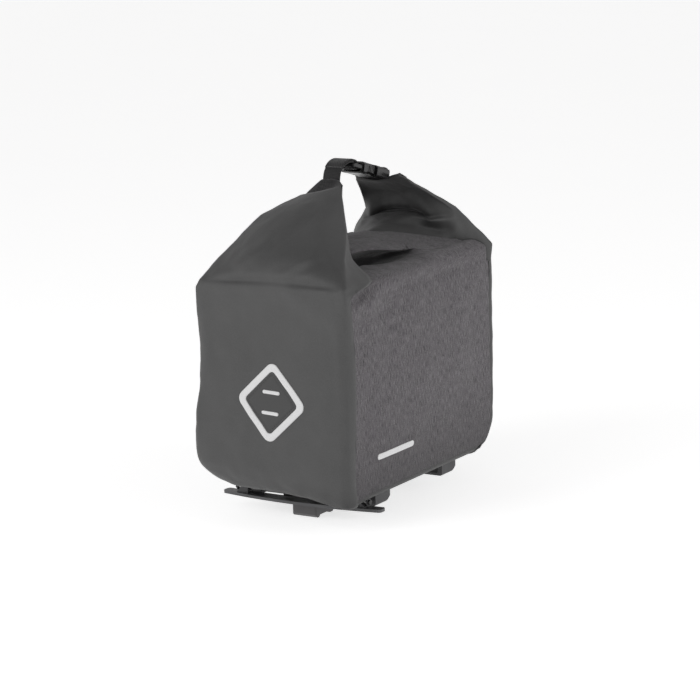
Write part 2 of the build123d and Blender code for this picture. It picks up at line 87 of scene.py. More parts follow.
class Shader:
    """A node material built by short calls; lengths are in metres of object space."""

    def __init__(self, name):
        self.material = bpy.data.materials.new(name)
        self.material.use_nodes = True
        self.nodes = self.material.node_tree.nodes
        self.links = self.material.node_tree.links
        self.shader = self.nodes["Principled BSDF"]
        self.place = self.nodes.new("ShaderNodeTexCoord").outputs["Object"]

    def set(self, **values):
        for name, value in values.items():
            self.shader.inputs[name.replace("_", " ")].default_value = value
        return self

    def link(self, source, target):
        self.links.new(source, self.shader.inputs[target])

    def cloth_place(self):
        """The cloth's own flat coordinates, in metres, along and across its threads."""
        node = self.nodes.new("ShaderNodeUVMap")
        node.uv_map = "cloth"
        return node.outputs["UV"]

    def stretched(self, place, scale):
        node = self.nodes.new("ShaderNodeMapping")
        node.inputs["Scale"].default_value = scale
        self.links.new(place, node.inputs["Vector"])
        return node.outputs["Vector"]

    def grain(self, size, place=None, detail=3.0, roughness=0.55):
        """Noise whose lumps are about size metres across."""
        node = self.nodes.new("ShaderNodeTexNoise")
        node.inputs["Scale"].default_value = 1 / size
        node.inputs["Detail"].default_value = detail
        node.inputs["Roughness"].default_value = roughness
        self.links.new(self.place if place is None else place, node.inputs["Vector"])
        return node.outputs["Fac"]

    def wave(self, size, direction, place, distortion=0.0):
        node = self.nodes.new("ShaderNodeTexWave")
        node.bands_direction = direction
        node.inputs["Scale"].default_value = 1 / size
        node.inputs["Distortion"].default_value = distortion
        self.links.new(place, node.inputs["Vector"])
        return node.outputs["Fac"]

    def spread(self, value, low, high, to_low=0.0, to_high=1.0):
        node = self.nodes.new("ShaderNodeMapRange")
        self.links.new(value, node.inputs["Value"])
        for name, number in zip(("From Min", "From Max", "To Min", "To Max"), (low, high, to_low, to_high)):
            node.inputs[name].default_value = number
        return node.outputs["Result"]

    def join(self, operation, one, two):
        node = self.nodes.new("ShaderNodeMath")
        node.operation = operation
        for socket, value in zip(node.inputs, (one, two)):
            if isinstance(value, (int, float)):
                socket.default_value = value
            else:
                self.links.new(value, socket)
        return node.outputs[0]

    def mix(self, amount, one, two):
        """A mix of two colours, each a hex colour or another node's output."""
        node = self.nodes.new("ShaderNodeMix")
        node.data_type = "RGBA"
        self.links.new(amount, node.inputs["Factor"])
        for name, value in (("A", one), ("B", two)):
            socket = next(s for s in node.inputs if s.name == name and s.type == "RGBA")
            if isinstance(value, str):
                socket.default_value = linear(value)
            else:
                self.links.new(value, socket)
        return next(s for s in node.outputs if s.type == "RGBA")

    def painted_shade(self, colour, reach=0.07, darkest=0.12, low=0.25, high=0.9):
        """The colour with painted shade: darker in deep folds, from the room in front of the surface."""
        node = self.nodes.new("ShaderNodeAmbientOcclusion")
        node.samples = 8
        node.inputs["Distance"].default_value = reach
        # Painted shade: the occlusion share scales the colour down towards darkest in folds and hollows.
        open_share = self.spread(node.outputs["AO"], low, high, darkest, 1.0)
        dark = self.nodes.new("ShaderNodeVectorMath")
        dark.operation = "SCALE"
        self.links.new(colour, dark.inputs[0])
        self.links.new(open_share, dark.inputs["Scale"])
        return dark.outputs["Vector"]

    def edge_wear_and_highlight(self, low=0.51, high=0.6):
        """One along convex edges, from the mesh's pointiness: for rubbed plastic edges, and for the bar's
        painted highlight.
        """
        node = self.nodes.new("ShaderNodeNewGeometry")
        return self.spread(node.outputs["Pointiness"], low, high)

    def bump(self, *layers):
        """Bump layers, each a (height, strength, distance in metres)."""
        normal = None
        for height, strength, distance in layers:
            node = self.nodes.new("ShaderNodeBump")
            node.inputs["Strength"].default_value = strength
            node.inputs["Distance"].default_value = distance
            self.links.new(height, node.inputs["Height"])
            if normal is not None:
                self.links.new(normal, node.inputs["Normal"])
            normal = node.outputs["Normal"]
        self.link(normal, "Normal")
        return self.material


def tarpaulin(name):
    """Matt coated polyester: even grey, a faint cloth grain and soft mottling."""
    s = Shader(name)
    s.set(Specular_IOR_Level=0.35, Sheen_Weight=0.12, Sheen_Roughness=0.5)
    cloud = s.spread(s.grain(0.055, detail=4), 0.35, 0.68)
    fine = s.spread(s.grain(0.0011, detail=2), 0.3, 0.8, 0, 0.35)
    # Painted shade: the tarpaulin's colour is darkened in folds and where the wings crowd in.
    s.link(s.painted_shade(s.mix(fine, s.mix(cloud, "4f4f4f", "585858"), "646464")), "Base Color")
    s.link(s.spread(cloud, 0, 1, 0.51, 0.63), "Roughness")
    threads = s.join("ADD", s.wave(0.0024, "X", s.cloth_place()), s.wave(0.0024, "Y", s.cloth_place()))
    return s.bump((threads, 0.10, 0.0003), (s.grain(0.0012), 0.22, 0.0003), (s.grain(0.02), 0.25, 0.0014))


def heather(name):
    """Melange cloth: light and dark threads running down the bag, on a dull woven ground."""
    s = Shader(name)
    s.set(Roughness=0.86, Specular_IOR_Level=0.22, Sheen_Weight=0.22, Sheen_Roughness=0.6)
    cloth = s.cloth_place()
    long_slubs = s.grain(0.0010, s.stretched(cloth, (1, 0.13, 1)), detail=3, roughness=0.6)
    short_slubs = s.grain(0.0008, s.stretched(cloth, (1, 0.5, 1)), detail=4, roughness=0.7)
    streaks = s.join("ADD", s.join("MULTIPLY", long_slubs, 0.55), s.join("MULTIPLY", short_slubs, 0.45))
    ground = s.mix(s.spread(streaks, 0.43, 0.58), "373537", "878386")
    tint = s.spread(s.grain(0.0035, s.stretched(cloth, (1, 0.2, 1))), 0.35, 0.7, 0, 0.45)
    tinted = s.mix(tint, ground, "6c666d")
    shade = s.spread(s.grain(0.06, detail=2), 0.3, 0.7, 0, 0.2)
    pale = s.mix(shade, tinted, "5d5a5e")
    # Painted shade: the heather's colour is darkened in folds and on the roof between the wings.
    s.link(s.painted_shade(pale, reach=0.12, darkest=0.08, low=0.3, high=0.97), "Base Color")
    weave = s.join("ADD", s.wave(0.0028, "X", cloth, 0.6), s.wave(0.0028, "Y", cloth, 0.6))
    return s.bump((weave, 0.25, 0.0004), (streaks, 0.6, 0.0006), (s.grain(0.016), 0.25, 0.0012))


def webbing(name):
    """Black nylon webbing with ribs across it and a fine twill."""
    s = Shader(name)
    s.set(Roughness=0.62, Specular_IOR_Level=0.4, Sheen_Weight=0.25, Sheen_Roughness=0.4)
    cloth = s.cloth_place()
    ribs = s.wave(0.0046, "Y", cloth, 0.3)
    twill = s.wave(0.0032, "DIAGONAL", cloth)
    fuzz = s.grain(0.0009, detail=3)
    s.link(s.mix(s.spread(fuzz, 0.35, 0.75, 0.0, 0.8), "1d1c1d", "363536"), "Base Color")
    return s.bump((ribs, 0.5, 0.0005), (twill, 0.4, 0.0004), (fuzz, 0.3, 0.0003))


def moulded(name, colour, worn, roughness=0.36, grain=0.0009, depth=0.0003):
    """Injection-moulded plastic with a faint spark-eroded grain and lighter rubbed edges."""
    s = Shader(name)
    s.set(Specular_IOR_Level=0.5)
    speckle = s.grain(grain, detail=2)
    cloud = s.grain(0.018, detail=3)
    base = s.mix(s.spread(cloud, 0.3, 0.7, 0, 0.3), colour, worn)
    s.link(s.mix(s.join("MULTIPLY", s.edge_wear_and_highlight(), 0.6), base, worn), "Base Color")
    s.link(s.spread(cloud, 0.3, 0.7, roughness - 0.05, roughness + 0.10), "Roughness")
    return s.bump((speckle, 0.25, depth), (cloud, 0.1, 0.0006))


def rubber(name):
    """Soft dark rubber of the light clip's patch."""
    s = Shader(name)
    s.set(Specular_IOR_Level=0.3)
    cloud = s.grain(0.012, detail=4)
    s.link(s.mix(cloud, "515151", "595959"), "Base Color")
    s.link(s.spread(cloud, 0.3, 0.7, 0.6, 0.75), "Roughness")
    return s.bump((s.grain(0.0007), 0.3, 0.0003))


def reflective(name):
    """White retroreflective film: glass beads under a clear face, with a faint grey grain."""
    s = Shader(name)
    s.set(Coat_Weight=0.25, Coat_Roughness=0.3, Specular_IOR_Level=0.5)
    beads = s.grain(0.0006, detail=2)
    s.link(s.mix(s.spread(beads, 0.3, 0.7), "eeeeef", "ffffff"), "Base Color")
    s.link(s.spread(s.grain(0.01), 0.3, 0.7, 0.38, 0.52), "Roughness")
    return s.bump((beads, 0.15, 0.0002))


def metal(name, colour, roughness):
    """Drawn or plated steel with fine drawing lines."""
    s = Shader(name)
    s.set(Metallic=1.0)
    lines = s.grain(0.0006, s.stretched(s.place, (0.05, 1, 1)), detail=3)
    stain = s.grain(0.012, detail=4)
    s.link(s.mix(s.spread(stain, 0.35, 0.7, 0, 0.5), colour, "5c5b59"), "Base Color")
    s.link(s.spread(lines, 0.3, 0.7, roughness - 0.06, roughness + 0.12), "Roughness")
    return s.bump((lines, 0.15, 0.0002))


def hinge_rod(name):
    """Drawn steel rod with black end caps."""
    s = Shader(name)
    split = s.nodes.new("ShaderNodeSeparateXYZ")
    s.links.new(s.place, split.inputs["Vector"])
    capped = s.spread(s.join("ABSOLUTE", split.outputs["X"], 0), 0.0765, 0.0772)
    lines = s.grain(0.0006, s.stretched(s.place, (0.05, 1, 1)), detail=3)
    s.link(s.mix(capped, "a4a4a2", "191919"), "Base Color")
    s.link(s.spread(capped, 0, 1, 1, 0), "Metallic")
    s.link(s.spread(lines, 0.3, 0.7, 0.26, 0.44), "Roughness")
    return s.bump((lines, 0.15, 0.0002))


def painted(name):
    """Satin black powder coat with orange peel, and a painted highlight along its edges."""
    s = Shader(name)
    s.set(Specular_IOR_Level=0.5, Coat_Weight=0.2, Coat_Roughness=0.3)
    peel = s.grain(0.0022, detail=2)
    base = s.mix(s.spread(s.grain(0.03), 0.3, 0.7, 0, 0.5), "1b1b1c", "262627")
    # Painted highlight: the convex edges are mixed towards pale grey.
    s.link(s.mix(s.join("MULTIPLY", s.edge_wear_and_highlight(0.52, 0.62), 0.5), base, "77777a"), "Base Color")
    s.link(s.spread(peel, 0.3, 0.7, 0.34, 0.46), "Roughness")
    return s.bump((peel, 0.2, 0.0003))


def thread(name):
    """Twisted sewing thread."""
    s = Shader(name)
    s.set(Roughness=0.7, Sheen_Weight=0.3)
    strands = s.wave(0.0007, "DIAGONAL", s.place, 1.0)
    s.link(s.mix(strands, "2b2b2b", "4a4a4a"), "Base Color")
    return s.bump((strands, 0.5, 0.0002))


LOOKS = {
    "tarpaulin": tarpaulin("tarpaulin"),
    "heather_cloth": heather("heather_cloth"),
    "board": moulded("board", "222222", "2e2e2e", 0.55, 0.0016, 0.0005),
    "reflective": reflective("reflective"),
    "patch_rubber": rubber("patch_rubber"),
    "webbing": webbing("webbing"),
    "buckle_plastic": moulded("buckle_plastic", "101011", "2c2c2d", 0.25, 0.0014, 0.0002),
    "adapter_plastic": moulded("adapter_plastic", "2c2c2d", "48484a", 0.46),
    "latch_plastic": moulded("latch_plastic", "464445", "5c5b5c", 0.5),
    "bar_paint": painted("bar_paint"),
    "steel": metal("steel", "b9b9b6", 0.3),
    "black_steel": metal("black_steel", "2c2c2c", 0.42),
    "hinge_rod": hinge_rod("hinge_rod"),
    "thread": thread("thread"),
}


# ---- mesh helpers
def clamp(value):
    return min(max(value, 0.0), 1.0)


def in_scene(name, data):
    obj = bpy.data.objects.new(name, data)
    bpy.context.scene.collection.objects.link(obj)
    return obj


def add_mesh(name, points, faces, look, body="bag", uv=None):
    """A smooth mesh from points in millimetres, with its look's material. uv gives each vertex its place on the
    flat cloth, in millimetres."""
    mesh = bpy.data.meshes.new(name)
    mesh.from_pydata([tuple(p) for p in np.asarray(points) * MM], [], [tuple(f) for f in faces])
    mesh.update()
    if uv is not None:
        layer = mesh.uv_layers.new(name="cloth")
        corners = np.empty(len(mesh.loops), int)
        mesh.loops.foreach_get("vertex_index", corners)
        layer.data.foreach_set("uv", (np.asarray(uv)[corners] * MM).astype(np.float32).ravel())
    mesh.polygons.foreach_set("use_smooth", [True] * len(mesh.polygons))
    mesh.materials.append(LOOKS[look])
    obj = in_scene(name, mesh)
    if body:
        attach(obj, body)
    return obj


def thicken(obj, thickness=CLOTH, weld=False):
    """Gives a sheet its thickness, inwards. weld first joins the points that lie on each other."""
    if weld:
        obj.modifiers.new("weld", "WELD").merge_threshold = 0.05 * MM
    solid = obj.modifiers.new("solidify", "SOLIDIFY")
    solid.thickness, solid.offset = thickness * MM, -1.0
    evaluated = obj.evaluated_get(bpy.context.evaluated_depsgraph_get())
    mesh = bpy.data.meshes.new_from_object(evaluated)
    mesh.name = obj.name
    obj.modifiers.clear()
    obj.data = mesh


def grid_faces(rows, columns, wrap=False):
    corners = ((0, 0), (0, 1), (1, 1), (1, 0))
    return [
        tuple((r + down) * columns + (c + over) % columns for down, over in corners)
        for r in range(rows - 1)
        for c in range(columns if wrap else columns - 1)
    ]


def flat_points(grid):
    return grid.reshape(-1, 3)


def flat_places(grid):
    """How far each grid point lies across and along the flat cloth, in millimetres."""
    across = np.zeros(grid.shape[:2])
    along = np.zeros(grid.shape[:2])
    across[:, 1:] = np.cumsum(np.linalg.norm(np.diff(grid, axis=1), axis=2), axis=1)
    across -= across[:, across.shape[1] // 2][:, None]
    along[1:] = np.cumsum(np.linalg.norm(np.diff(grid, axis=0), axis=2), axis=0)
    along = np.broadcast_to(along.mean(axis=1)[:, None], along.shape)
    return np.stack([across, along], axis=2).reshape(-1, 2)


def run_lengths(line):
    """How far along a line each of its points is."""
    return np.concatenate([[0], np.cumsum(np.linalg.norm(np.diff(line, axis=0), axis=1))])


def directions(line):
    ways = np.gradient(line, axis=0)
    return ways / np.linalg.norm(ways, axis=1, keepdims=True)


def smooth_step(value, low, high):
    t = np.clip((value - low) / (high - low), 0, 1)
    return t * t * (3 - 2 * t)


def spline_at(points, where, curl):
    """Points along a control line at the given places, in control points from 0. curl 0 keeps straight runs,
    and 1 is a full Catmull-Rom curve."""
    p = np.asarray(points, float)
    index = np.clip(np.floor(where).astype(int), 0, len(p) - 2)
    t = (where - index).reshape(-1, *([1] * (p.ndim - 1)))
    padded = np.concatenate([[2 * p[0] - p[1]], p, [2 * p[-1] - p[-2]]])
    a, b, c, d = padded[index], padded[index + 1], padded[index + 2], padded[index + 3]
    straight = b * (1 - t) + c * t
    curved = 0.5 * (2 * b + (c - a) * t + (2 * a - 5 * b + 4 * c - d) * t**2 + (3 * b - a - 3 * c + d) * t**3)
    return straight * (1 - curl) + curved * curl


def spline(points, count, curl):
    """count points along a control line, evenly spaced along its runs."""
    p = np.asarray(points, float)
    steps = np.linalg.norm(np.diff(p, axis=0), axis=-1)
    steps = steps.reshape(len(steps), -1).mean(axis=1)
    at = np.concatenate([[0], np.cumsum(np.maximum(steps, 1e-6))])
    where = np.interp(np.linspace(0, at[-1], count), at, np.arange(len(p)))
    return spline_at(p, where, curl)


def relax(grid, rounds):
    """Rounds the folds of a dense grid off; its border stays."""
    g = grid.copy()
    for _ in range(rounds):
        inner = (g[:-2, 1:-1] + g[2:, 1:-1] + g[1:-1, :-2] + g[1:-1, 2:]) / 4
        g[1:-1, 1:-1] = (g[1:-1, 1:-1] + inner) / 2
    return g


def normals_of(grid):
    across = np.gradient(grid, axis=1)
    along = np.gradient(grid, axis=0)
    n = np.cross(across, along)
    return n / np.maximum(np.linalg.norm(n, axis=2, keepdims=True), 1e-9)


def rumple(grid, size, depth, seed):
    """Noise over the grid, for the slack of the cloth."""
    shift = Vector((seed * 17.3, seed * 5.1, seed * 9.7))
    values = [noise.fractal(Vector(p) / size + shift, 0.6, 2.1, 3) for p in grid.reshape(-1, 3)]
    return depth * np.array(values).reshape(grid.shape[:2])


def fold(grid, start, end, width, depth):
    """A soft valley (negative depth) or ridge along a line, which dies out at its ends."""
    a, b = np.array(start, float), np.array(end, float)
    along = b - a
    t = np.clip(((grid - a) @ along) / (along @ along), 0, 1)
    away = np.linalg.norm(grid - (a + t[..., None] * along), axis=2)
    return depth * np.exp(-((away / width) ** 2)) * np.sin(pi * np.clip(t, 0.03, 0.97)) ** 0.5


def push(grid, amount):
    return grid + normals_of(grid) * amount[..., None]


def raised(points):
    """Points written with their height above the shoulder."""
    return [(x, y, SHOULDER + z) for x, y, z in points]


def creased(grid, creases, *slack):
    """How far the cloth is pushed off its grid by creases, each (from, to, width, depth) with its heights
    above the shoulder, and by slack, each (size, depth, seed) of noise."""
    amount = sum(fold(grid, *raised(ends), width, depth) for *ends, width, depth in creases)
    return amount + sum(rumple(grid, *noises) for noises in slack)


def cloth_piece(name, grid, look, *replaced, thickness=CLOTH):
    """A sheet from a dense grid, in place of CAD nodes."""
    obj = add_mesh(name, flat_points(grid), grid_faces(*grid.shape[:2]), look, uv=flat_places(grid))
    thicken(obj, thickness)
    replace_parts(obj, *replaced)
    return obj


# ---- the bag's lower body
CORNER = 8.0
SIDE_ROUND, NOSE_ROUND = 6.0, 26.0
TAIL_ROUND = (27.0, 6.0)  # the tail's lower edge turns under more on the left
LEFT_ROUND = 22.0  # the left side's lower edge, towards the tail
TAIL_CRISP = 0.75  # how much of the tail's lower edge is folded under, and not rounded
FOLD_SLOPE = 0.62  # how far a folded edge turns in for each millimetre down
ROW_SPACING = 3.0
TAIL_BEND, BEND = 8.0, 18.0  # how far below the shoulder the tail's cloth, and all other, turns in
WRAP = 2 + (SEAM - CORNER) / (2 * (END - CORNER))  # the place round the bag where a tarpaulin end stops


def ring_point(side, end, corner, u):
    """A point of a rounded rectangle. u runs 0 mid tail, 1-2 the tail corner, 2-3 the side, 3-4 the nose
    corner, 5 mid nose; it is negative on the left."""
    way, u = (-1 if u < 0 else 1), abs(u)
    if u <= 1:
        x, y = u * (side - corner), -end
    elif u <= 2:
        turn = (u - 1) * pi / 2
        x, y = side - corner + corner * sin(turn), -end + corner - corner * cos(turn)
    elif u <= 3:
        x, y = side, (u - 2.5) * 2 * (end - corner)
    elif u <= 4:
        turn = (u - 3) * pi / 2
        x, y = side - corner + corner * cos(turn), end - corner + corner * sin(turn)
    else:
        x, y = (5 - u) * (side - corner), end
    return way * x, y


def tucked(radius, z, crisp=0.0):
    """How far the skin has turned in at height z, where its lower edge is rounded by radius, or folded
    straight under where crisp is 1."""
    down = clamp((BOTTOM + radius - z) / radius)
    return radius * ((1 - sqrt(1 - down**2)) * (1 - crisp) + FOLD_SLOPE * down * crisp)


def body_point(u, z, swell=0.0):
    """A point of the lower body's skin before it slumps."""
    at_nose = abs(u) > 2.5
    left, right = TAIL_ROUND
    end_round = NOSE_ROUND if at_nose else left + (right - left) * clamp((u + 1) / 2)
    left_tail = clamp(2.9 + u) if u < 0 else 0.0
    side_in = tucked(SIDE_ROUND, z) + tucked(LEFT_ROUND, z) * 0.4 * left_tail
    end_in = tucked(end_round, z, 0.0 if at_nose else TAIL_CRISP)
    sharper = clamp((z - SHOULDER + 60) / 50)
    corner = CORNER * (1 - 0.5 * sharper) + 0.3 * max(side_in, end_in)
    return *ring_point(SIDE - side_in + swell, END - end_in + swell, corner, u), z


# How far the filled cloth leaves its pattern, in millimetres
BELLY, LOW_TAIL_BELLY, END_BELLY = 4.2, 1.6, 2.6
LEFT_SAG, LOW_LEFT_SAG = 2.0, 8.5
TAIL_PUSH, NOSE_PUSH = 3.4, 3.2
CORNER_HANG, SIDE_HANG = 6.5, 4.6


def slump(p):
    """How the filled bag leaves its pattern: bellied sides and ends, a load that has sunk to the tail's left,
    and lower edges that hang past the floor."""
    x, y, z = p[..., 0], p[..., 1], p[..., 2]
    high = np.clip((z - BOTTOM) / (SHOULDER - BOTTOM), 0, 1)
    along, across = y / END, x / SIDE
    at_tail = smooth_step(-along, 0.1, 0.98)
    belly = BELLY * np.sin(pi * high) ** 0.8 * (1 - 0.8 * along**2)
    belly = belly + LOW_TAIL_BELLY * at_tail * smooth_step(high, 0.1, 0.3)
    sag = (LEFT_SAG + LOW_LEFT_SAG * smooth_step(-high, -0.66, -0.22)) * smooth_step(high, 0.0, 0.12)
    low_half = smooth_step(-high, -0.6, -0.25) * smooth_step(high, 0, 0.15)
    out = p.copy()
    out[..., 0] += across * belly - sag * at_tail * smooth_step(-across, 0.2, 1)
    out[..., 1] += along * END_BELLY * np.sin(pi * high) * (1 - across**2)
    out[..., 1] -= TAIL_PUSH * low_half * smooth_step(-along, 0.5, 1)
    out[..., 1] += NOSE_PUSH * smooth_step(along, 0.5, 1) * smooth_step(high, 0.02, 0.3)
    at_corner = CORNER_HANG * smooth_step(-along, 0.45, 0.9) * smooth_step(across, 0.2, 1)
    along_side = SIDE_HANG * smooth_step(np.abs(across), 0.84, 0.93) * smooth_step(-along, -0.92, -0.7)
    along_side = along_side * np.where(across < 0, smooth_step(along, -0.7, -0.4), 1)
    out[..., 2] -= np.maximum(at_corner, along_side) * smooth_step(-high, -0.22, 0)
    return out


def body_grid(places, heights, swell=0.0):
    return slump(np.array([[body_point(u, z, swell) for u in places] for z in heights], float))


def body_heights(low, high):
    """Heights from low to high, closer together where the lower edge turns under."""
    round_top = BOTTOM + NOSE_ROUND
    turned = [BOTTOM + NOSE_ROUND * (1 - cos(t)) for t in np.linspace(0, pi / 2, 16)]
    above = np.linspace(round_top, high, max(2, int((high - round_top) / ROW_SPACING)))
    return [z for z in turned[:-1] if z >= low] + list(above)


def end_places(tail):
    """Places across one tarpaulin end, from its left seam to its right one."""
    half = [*np.linspace(0, 1, 27)[1:], *np.linspace(1, 2, 7)[1:], *np.linspace(2, WRAP, 7)[1:]]
    right = half if tail else [5 - u for u in half]
    return [-u for u in right[::-1]] + [0 if tail else 5] + right


FOLD_COLUMN = 9  # the column of an end's grid that runs up its folded corner
FACE_COLUMNS = 59  # between the two folded corners
WING_STEPS = (7, 10, 13, 18)  # rows from the body to the shoulder and on to each level


def end_row(points):
    """A level of a wing: points given from the left seam to the right one, spread over the end's columns.
    The first and last pairs span the wrap, so they take the wrap's columns."""
    wrap_left = spline(points[:2], FOLD_COLUMN + 1, 0)[:-1]
    wrap_right = spline(points[-2:], FOLD_COLUMN + 1, 0)[1:]
    return np.concatenate([wrap_left, spline(points[1:-1], FACE_COLUMNS, 0.35), wrap_right])


# The outer levels of each wing, from its left seam to its right one: edge, corner, face ..., corner, edge
TAIL_LEVELS = [
    [(-82, -92, -1), (-84, -144, 0), (-45, -147, 2), (0, -147.5, 3),
     (45, -147, 2), (84, -144.5, 0), (82, -90, -1)],
    [(-66, -88, 22), (-74, -120, 20), (-42, -133, 22), (0, -135, 25),
     (42, -132, 25), (68, -116, 21), (59, -87, 19)],
    [(-49, -79, 52), (-51, -81, 56), (-28, -97, 54), (0, -102, 55),
     (30, -97, 53), (50.5, -83, 45), (50, -80, 41)],
    [(-25, -42, 71), (-26, -44, 72), (-13, -49, 75.5), (0, -51, 78),
     (13, -52, 81), (25, -51.5, 84), (25, -50, 84)],
]
NOSE_LEVELS = [
    [(-62, 112, 6), (-86, 146.5, 0), (-45, 147.5, 1), (0, 148, 2),
     (45, 147.5, 1), (86.5, 146.5, 0), (60, 113, 7)],
    [(-56, 110, 20), (-68, 131, 18), (-38, 141, 19), (0, 143.5, 20),
     (40, 141, 19), (74.5, 133, 18), (60, 113, 20)],
    [(-42, 104, 37), (-44, 111, 41), (-24, 121, 43), (0, 124, 44),
     (30, 122, 43), (60.5, 115.5, 41.8), (57, 111, 40)],
    [(-23, 56, 77), (-24.3, 57, 78), (-12, 61, 76), (0, 63, 75),
     (12, 63.5, 77), (24.5, 62.5, 81.5), (24, 61, 80.8)],
]


def near_folds(columns):
    """One at the two folded corners of an end's grid, falling to nothing a few columns away."""
    c = np.arange(columns)
    return sum(np.exp(-(((c - f) / 3.0) ** 2)) for f in (FOLD_COLUMN, columns - 1 - FOLD_COLUMN))


def end_grid(levels, tail):
    """One tarpaulin end: the body's end panel and the outside of the wing above it, in one cloth."""
    places = end_places(tail)
    heights = body_heights(BOTTOM, SHOULDER - (TAIL_BEND if tail else BEND))
    lower = body_grid(places, heights, WELD)
    if not tail:
        under = body_grid(places, heights, -1.4)
        low = 1 - smooth_step(lower[:, 0, 2:], SHOULDER - 50, SHOULDER - 24)
        for away, share in enumerate((1, 0.8, 0.25)):
            for column in (away, -1 - away):
                lower[:, column] += (under[:, column] - lower[:, column]) * share * low
    rows = np.array([lower[-4], lower[-1]] + [end_row(raised(level)) for level in levels])
    where = np.concatenate([np.linspace(i + 1, i + 2, n + 1)[1:] for i, n in enumerate(WING_STEPS)])
    crisp = near_folds(len(places))[None, :, None]
    upper = spline_at(rows, where, 0.7) * (1 - crisp) + spline_at(rows, where, 0.0) * crisp
    grid = np.concatenate([lower, upper])
    crisp = crisp * smooth_step(grid[..., 2:], SHOULDER - 26, SHOULDER - 6)
    return relax(grid, 12) * (1 - crisp) + relax(grid, 1) * crisp


# ---- tarpaulin ends
# The inside levels of each wing, from its left fold to its right one, and the outer level that each stands at
INNER_TAIL = {
    0.0: [(-82, -92, -1), (-41, -68, 11), (0, -45, 22), (41, -68, 11), (82, -90, -1)],
    1.0: [(-66, -88, 22), (-36, -72, 25), (0, -66, 28), (36, -72, 24), (59, -87, 19)],
    1.8: [(-51, -80, 46), (-34, -77, 38), (0, -76, 37), (34, -77, 37), (51, -81, 37)],
    2.4: [(-40, -64, 59), (-20, -70, 54), (0, -72, 53), (20, -72, 54), (41, -69, 58)],
    3.0: [(-25, -42, 71), (-13, -45, 74), (0, -47, 76.5), (13, -48.5, 80), (25, -50, 84)],
}
INNER_NOSE = {
    0.0: [(-62, 112, 6), (-42, 78, 11), (-22, 56, 17.5), (0, 40, 24),
          (22, 66, 18.5), (44, 93, 12), (60, 113, 7)],
    1.0: [(-56, 110, 20), (-41, 90, 20), (-21, 78, 26), (2, 72, 29),
          (24, 88, 25), (44, 106, 18), (60, 113, 20)],
    1.55: [(-48, 107, 30), (-37, 90, 27), (-20, 91, 33), (0, 92, 35.5),
           (22, 93, 35), (41, 93, 30), (58, 112, 32)],
    1.75: [(-44, 105, 34), (-34, 98, 29), (-18, 107, 34.5), (0, 109, 36.5),
           (20, 108, 36), (37, 101, 31), (57, 111, 36)],
    2.0: [(-42, 104, 37), (-32, 96, 34), (-17, 98, 40), (0, 97, 42),
          (17, 98, 42), (38, 98, 36), (57, 111, 40)],
    2.5: [(-33, 81, 57), (-25, 86, 58), (-13, 89, 59), (0, 90, 59.5),
          (14, 90, 60), (29, 87, 61), (41, 86, 61)],
    3.0: [(-23, 56, 77), (-16, 58, 75), (-8, 60, 74), (0, 61, 73.5),
          (8, 61.5, 75), (16, 61.5, 78), (24, 61, 80.8)],
}


def inner_grid(levels, outer):
    """The inside of a wing, whose side edges are those of its outer grid."""
    rows = [np.linspace(i, i + 1, n + 1)[1:] for i, n in enumerate(WING_STEPS[1:])]
    where = np.concatenate([[0], *rows])
    share = np.linspace(0, 1, 61)
    control = np.array([spline(raised(level), len(share), 0.4) for level in levels.values()])
    grid = spline_at(control, np.interp(where, list(levels), np.arange(len(levels))), 0.6)
    edges = outer[-len(where):]
    for column, away in ((0, share), (-1, share[::-1])):
        pull = np.exp(-((away / 0.10) ** 2))
        grid = grid + (edges[:, column] - grid[:, column])[:, None, :] * pull[None, :, None]
    return relax(grid, 2)


def seam_lift(grid):
    """Keeps the edge of a tarpaulin end outside the heather where it turns over the shoulder."""
    columns = np.arange(grid.shape[1])
    near_edge = np.exp(-((np.minimum(columns, columns[::-1]) / 5.0) ** 2))
    return 1.5 * np.exp(-(((grid[..., 2] - SHOULDER + 6) / 7) ** 2)) * near_edge[None, :]


# Creases of each end's outside and of its wing's inside: from, to, width and depth
OUTER_CREASES = {
    "tail": [
        ((-76, -147, 1), (10, -148, 4), 4.5, -3.6),
        ((0, -148, 4), (78, -146, 2), 4.5, -3.0),
        ((-70, -146, -7), (60, -147, -6), 6.0, 1.4),
        ((8, -147, 4), (46, -128, 30), 5.0, 2.0),
        ((24, -142, 10), (60, -124, 22), 5.0, -1.5),
        ((12, -147, -4), (74, -146, -30), 9.0, 1.4),
        ((-46, -143, 12), (-12, -118, 40), 11.0, 2.0),
        ((-20, -140, 16), (14, -100, 56), 8.0, -1.6),
        ((30, -104, 52), (80, -142, 2), 6.0, 1.4),
        ((60, -146, -2), (84, -100, 2), 5.0, 1.2),
        ((76, -146, -20), (78, -146, -120), 5.0, 1.0),
        ((-78, -146, -10), (-76, -146, -90), 6.0, 1.2),
        ((84, -146, -16), (85, -147, BOTTOM - SHOULDER + 14), 2.6, 1.1),
        ((-86, -146, -16), (-90, -149, BOTTOM - SHOULDER + 40), 2.6, 0.9),
    ],
    "nose": [
        ((-70, 147, 1), (72, 147, 1), 6.0, -2.2),
        ((60, 115, 41), (80, 142, 3), 5.0, 1.2),
        ((-60, 115, 41), (-80, 142, 3), 5.0, 1.2),
        ((0, 146, 6), (40, 128, 36), 8.0, 1.5),
        ((10, 147, -6), (74, 146, -36), 9.0, 1.4),
    ],
}
INNER_CREASES = {
    "tail": [((-30, -76, 38), (30, -76, 38), 4.0, -2.0)],
    "nose": [
        ((-36, 92, 30), (4, 72, 28), 4.0, -1.6),
        ((4, 72, 28), (40, 96, 31), 4.0, 2.2),
        ((30, 92, 24), (46, 104, 14), 5.0, -1.4),
        ((52, 108, 34), (55, 109, 10), 4.0, 1.6),
        ((20, 64, 76), (41, 99, 36), 7.0, 4.4),
        ((8, 86, 62), (30, 96, 44), 7.0, -2.6),
    ],
}


